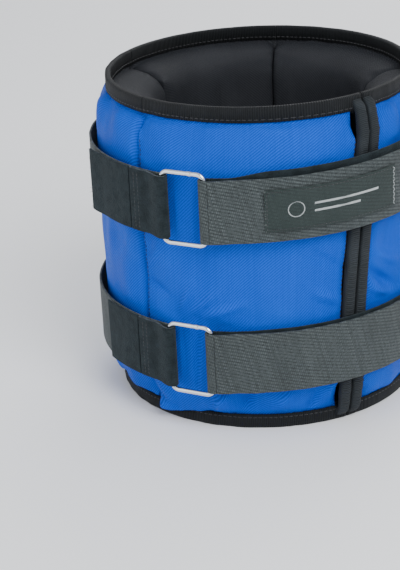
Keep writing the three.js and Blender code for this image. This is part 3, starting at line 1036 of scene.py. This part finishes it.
def fold_stops(bar, side):
    """Stops half way round a ring's bar, from under it to over it, bulging to one side."""
    steps = 12
    stops = []
    for number in range(steps + 1):
        turned = math.pi * number / steps
        sideways = side * fold_radius * math.sin(turned) / cuff_radius
        stops.append((bar + sideways, bar_height - fold_radius * math.cos(turned)))
    return stops


for level in strap_heights:
    seam_turn = extent(f"{level}_keeper_loop")[0]
    stops = arc_stops(seam_turn - 0.002, left_bar - 0.004, tape_height) + fold_stops(left_bar, 1)
    for number in range(1, 9):
        share = number / 8
        drop = (bar_height + fold_radius - second_height) * ease(share, 0, 1)
        stops.append((left_bar - share * landing_run / cuff_radius, bar_height + fold_radius - drop))
    stops += arc_stops(stops[-1][0] - 0.005, seam_turn - 0.002, second_height)
    lay_tape(f"{level}_keeper", stops, level, (woven_tape, loop_tape), "front",
             f"{level}_keeper_loop", pitch=0.0012)

    cut_turn, sewn_turn = extent(f"{level}_keeper_end")[:2]
    stand_off = 0.0022 if level == "upper" else 0.0006
    stops = [(turn, height + stand_off * (1 - ease(turn, cut_turn, cut_turn + 0.16)))
             for turn, height in arc_stops(cut_turn, sewn_turn + 0.002, second_height)]
    lay_tape(f"{level}_keeper_cut_end", stops, level, (loop_tape, woven_tape), "left",
             f"{level}_keeper_end", pitch=0.0012)

    keeper_rows = bmesh.new()
    for offset in (0.0035, 0.0065):
        turn = seam_turn + offset / cuff_radius

        def keeper_place(distance):
            height = strap_heights[level] - strap_half + 0.002 + distance
            return around(turn, cuff_radius + second_height + tape_thickness * 0.41, height)

        stitch_row(keeper_rows, keeper_place, 2 * strap_half - 0.004, 0.0024, 0.0006)
    keeper_stitches = add_piece(f"{level}_keeper_stitches", keeper_rows, black_thread)
    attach(keeper_stitches, "front")

    frays = bmesh.new()
    outer = cuff_radius + second_height + stand_off
    fray(frays, lambda share: around(cut_turn, outer, strap_heights[level] + (share - 0.5) * 2 * strap_half),
         lambda share: around(cut_turn - math.pi / 2, 1, 0) - around(0, 0, 0), strap_half, 70,
         0.004 if level == "upper" else 0.002, 11 if level == "upper" else 12)
    loose = add_piece(f"{level}_keeper_fray", frays, black_thread)
    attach(loose, "left")

# --- Wire rings -----------------------------------------------------------------------------------
# Each ring is bent from 3 mm steel wire into a rounded rectangle, butt-welded in its upper bar and
# bright chrome plated. The weld leaves a slight swelling.
chrome = Finish("bright_chrome", 0.12, metallic=1.0)
scratch = chrome.noise(chrome.scaled(chrome.place(), (1, 1, 0.2)), 900, 4)
haze = chrome.noise(chrome.place(), 160, 3)
chrome.bump((scratch, 0.00002))
chrome_wire = chrome.feed(chrome.blend(haze, (0.58, 0.6, 0.62), (0.74, 0.76, 0.78)),
                          chrome.spread(haze, 0.3, 0.7, 0.08, 0.24))
corner_radius = 0.0042
weld_step = 0.0009
for level in strap_heights:
    low_edge, high_edge = extent(f"{level}_ring")[4:]
    half_high = (high_edge - low_edge) / 2 - wire_radius
    middle_turn = (left_bar + right_bar) / 2
    half_wide = (cuff_radius + bar_height) * math.sin((right_bar - left_bar) / 2)
    plane_radius = (cuff_radius + bar_height) * math.cos((right_bar - left_bar) / 2)
    path = []
    for corner, (side_x, side_z) in enumerate(((1, 1), (-1, 1), (-1, -1), (1, -1))):
        for number in range(9):
            turned = math.radians(90 * corner + 90 * number / 8)
            path.append((side_x * (half_wide - corner_radius) + corner_radius * math.cos(turned),
                         side_z * (half_high - corner_radius) + corner_radius * math.sin(turned)))
        if corner == 0:
            path += [(half_wide - corner_radius - weld_step * number, half_high)
                     for number in range(1, 18)]
    outline = bpy.data.curves.new(f"{level}_wire", "CURVE")
    outline.dimensions = "3D"
    outline.bevel_depth = wire_radius
    outline.bevel_resolution = 6
    spline = outline.splines.new("POLY")
    spline.use_cyclic_u = True
    spline.points.add(len(path) - 1)
    outward = around(middle_turn, 1, 0) - around(0, 0, 0)
    outward.z = 0
    sideways = Vector((-outward.y, outward.x, 0))
    centre = around(middle_turn, plane_radius, (low_edge + high_edge) / 2)
    for point, (x, z) in zip(spline.points, path):
        point.co = (*(centre + sideways * x + Vector((0, 0, z))), 1)
        weld = abs(x - 0.0045) if z > half_high - 0.0005 else 1
        swelling = 0.16 * math.exp(-(weld / 0.0009) ** 2)
        undercut = 0.1 * math.exp(-((weld - 0.0022) / 0.0008) ** 2)
        point.radius = 1 + swelling - undercut
    curve = bpy.data.objects.new(f"{level}_wire", outline)
    scene.collection.objects.link(curve)
    drawn = curve.evaluated_get(bpy.context.evaluated_depsgraph_get())
    wire_mesh = bpy.data.meshes.new_from_object(drawn)
    bpy.data.objects.remove(curve)
    bm = bmesh.new()
    bm.from_mesh(wire_mesh)
    bmesh.ops.remove_doubles(bm, verts=bm.verts, dist=1e-6)
    bmesh.ops.recalc_face_normals(bm, faces=bm.faces)
    wire = add_piece(f"{level}_wire_ring", bm, chrome_wire)
    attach(wire, f"{level}_ring")
    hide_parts(f"{level}_ring")

# --- Closing straps -------------------------------------------------------------------------------
# From the last pocket each strap comes forward over the closure, loop side out, passes through the
# ring's right bar and turns back over itself, so that the tail shows its woven side.
for level in strap_heights:
    from_turn, to_turn = extent(f"{level}_closing_strap")[:2]
    stops = arc_stops(from_turn - 0.0025, to_turn + 0.0025, tape_height)
    lay_tape(f"{level}_closing_tape", stops, level, (loop_tape, woven_tape), "right",
             f"{level}_closing_strap", rise=0.0032 if level == "upper" else 0.0008)

    leg_end = extent(f"{level}_strap_fold")[1]
    stops = [(leg_end, tape_height)] + fold_stops(right_bar, -1) + [(leg_end + 0.001, bar_height + fold_radius)]
    lay_tape(f"{level}_turned_fold", stops, level, (woven_tape, loop_tape), "right",
             f"{level}_strap_fold", pitch=0.0008)

    tail_turn, tail_end, _, _, _, _ = extent(f"{level}_tail")
    tail_height = sum(extent("lower_tail")[2:3]) + tape_thickness / 2 - cuff_radius
    top_height = bar_height + fold_radius
    stops = []
    for turn, _ in arc_stops(tail_turn - 0.001, tail_end, 0):
        drop = (top_height - tail_height) * ease(turn, tail_turn, tail_turn + 0.016 / cuff_radius)
        stops.append((turn, top_height - drop))
    lay_tape(f"{level}_tail_tape", stops, level, (woven_tape, loop_tape), f"{level}_tail",
             f"{level}_tail", ripple=0.0005)
    frays = bmesh.new()
    outer = cuff_radius + tail_height
    fray(frays, lambda share: around(tail_end, outer, strap_middle(level, tail_end)
                                     + (share - 0.5) * 2 * strap_half),
         lambda share: around(tail_end + math.pi / 2, 1, 0) - around(0, 0, 0), strap_half, 50, 0.0018,
         21 if level == "upper" else 22)
    loose = add_piece(f"{level}_tail_fray", frays, grey_thread)
    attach(loose, f"{level}_tail")

    tail_rows = bmesh.new()
    for inset in (0.003, 0.0055):
        turn = tail_end - inset / cuff_radius

        def end_place(distance):
            height = strap_middle(level, turn) - strap_half + 0.002 + distance
            return around(turn, outer + tape_thickness * 0.43, height)

        stitch_row(tail_rows, end_place, 2 * strap_half - 0.004, 0.0024, 0.0006)
    tail_stitches = add_piece(f"{level}_tail_stitches", tail_rows, grey_thread)
    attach(tail_stitches, f"{level}_tail")

# --- Hook patches ---------------------------------------------------------------------------------
# A patch of hook tape is sewn under the end of each tail: a thin woven ground with rows of stiff
# nylon hooks facing in.
hooks = Finish("hook_tape", 0.45, sheen=0.1, specular=0.4)
hook_dots = hooks.tree.nodes.new("ShaderNodeTexVoronoi")
hook_dots.inputs["Scale"].default_value = 800
hook_dots.inputs["Randomness"].default_value = 0.25
hooks.tree.links.new(hooks.cloth(), hook_dots.inputs["Vector"])
hook_height = hooks.spread(hook_dots.outputs["Distance"], 0.1, 0.6, 1, 0)
hooks.bump((hook_height, 0.0006))
hook_tape = hooks.feed(hooks.blend(hook_height, (0.008, 0.009, 0.01), (0.05, 0.056, 0.06)))
for level in strap_heights:
    from_turn, to_turn, inner, outer, low_edge, high_edge = extent(f"{level}_hook_patch")
    stops = arc_stops(from_turn, to_turn, (inner + outer) / 2 - cuff_radius)
    climb = closing_climb * (to_turn - from_turn)
    lay_tape(f"{level}_hooks", stops, level, (hook_tape, hook_tape), f"{level}_tail",
             f"{level}_hook_patch", width=high_edge - low_edge - climb, thickness=outer - inner - 0.0001,
             edge=0, ripple=0)

# --- Label ----------------------------------------------------------------------------------------
# A small woven label with turned ends is sewn to the upper tail all round. Its face carries only a
# plain embroidered motif: a ring of thread and two bars.
label_cloth = woven_finish("label_cloth", (0.036, 0.052, 0.05), (0.013, 0.021, 0.02))
from_turn, to_turn, inner, outer, low_edge, high_edge = extent("label")
label_height = (inner + outer) / 2 - cuff_radius
label_width = high_edge - low_edge - closing_climb * (to_turn - from_turn)
label_length = (to_turn - from_turn) * cuff_radius
label = lay_tape("sewn_label", arc_stops(from_turn, to_turn, label_height), "upper",
                 (label_cloth, label_cloth), "upper_tail", "label",
                 width=label_width, thickness=0.0008, edge=0, pitch=0.0011, ripple=0.0003)
label_face = cuff_radius + label_height + 0.00045


def label_place(along, across):
    """A point on the label's face, from its left end and its middle line."""
    turn = from_turn + along / cuff_radius
    return around(turn, label_face, strap_middle("upper", turn) + across)


label_rows = bmesh.new()
hem = 0.0013
for side in (-1, 1):
    stitch_row(label_rows, lambda run: label_place(hem + run, side * (label_width / 2 - hem)),
               label_length - 2 * hem, 0.0022, 0.00055)
stitch_row(label_rows, lambda run: label_place(hem, run - label_width / 2 + hem),
           label_width - 2 * hem, 0.0022, 0.00055)
label_stitches = add_piece("label_stitches", label_rows, black_thread)
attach(label_stitches, "upper_tail")

pale_thread = thread_finish("pale_thread", (0.62, 0.66, 0.66), (0.34, 0.37, 0.38))
motif = bmesh.new()
teeth = 15
for tooth in range(teeth):
    low_across = (tooth / teeth - 0.5) * (label_width - 0.002)
    step_across = (label_width - 0.002) / teeth
    left, right = label_length - 0.0022, label_length - 0.0006
    near, far = (left, right) if tooth % 2 else (right, left)
    stitch(motif, label_place(near, low_across), label_place(far, low_across + step_across), 0.0004)
ring_centre = 0.017
ring_size = 0.0048
threads_round = 44
for number in range(threads_round):
    turned = math.tau * number / threads_round
    cos_turn, sin_turn = math.cos(turned), math.sin(turned)
    stitch(motif, label_place(ring_centre + (ring_size - 0.0008) * cos_turn, (ring_size - 0.0008) * sin_turn),
           label_place(ring_centre + ring_size * cos_turn, ring_size * sin_turn), 0.00055)
for across, bar_start, bar_end in ((0.0022, 0.027, 0.066), (-0.0022, 0.027, 0.054)):
    count = round((bar_end - bar_start) / 0.0005)
    for number in range(count):
        along = bar_start + number * 0.0005
        stitch(motif, label_place(along, across - 0.0009), label_place(along + 0.0003, across + 0.0009), 0.0005)
label_motif = add_piece("label_motif", motif, pale_thread)
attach(label_motif, "upper_tail")

label_frays = bmesh.new()
fray(label_frays, lambda share: label_place(0.0002, (share - 0.5) * label_width),
     lambda share: around(from_turn - math.pi / 2, 1, 0) - around(0, 0, 0), label_width, 26, 0.0014, 31)
label_fray = add_piece("label_fray", label_frays, grey_thread)
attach(label_fray, "upper_tail")

low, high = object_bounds()
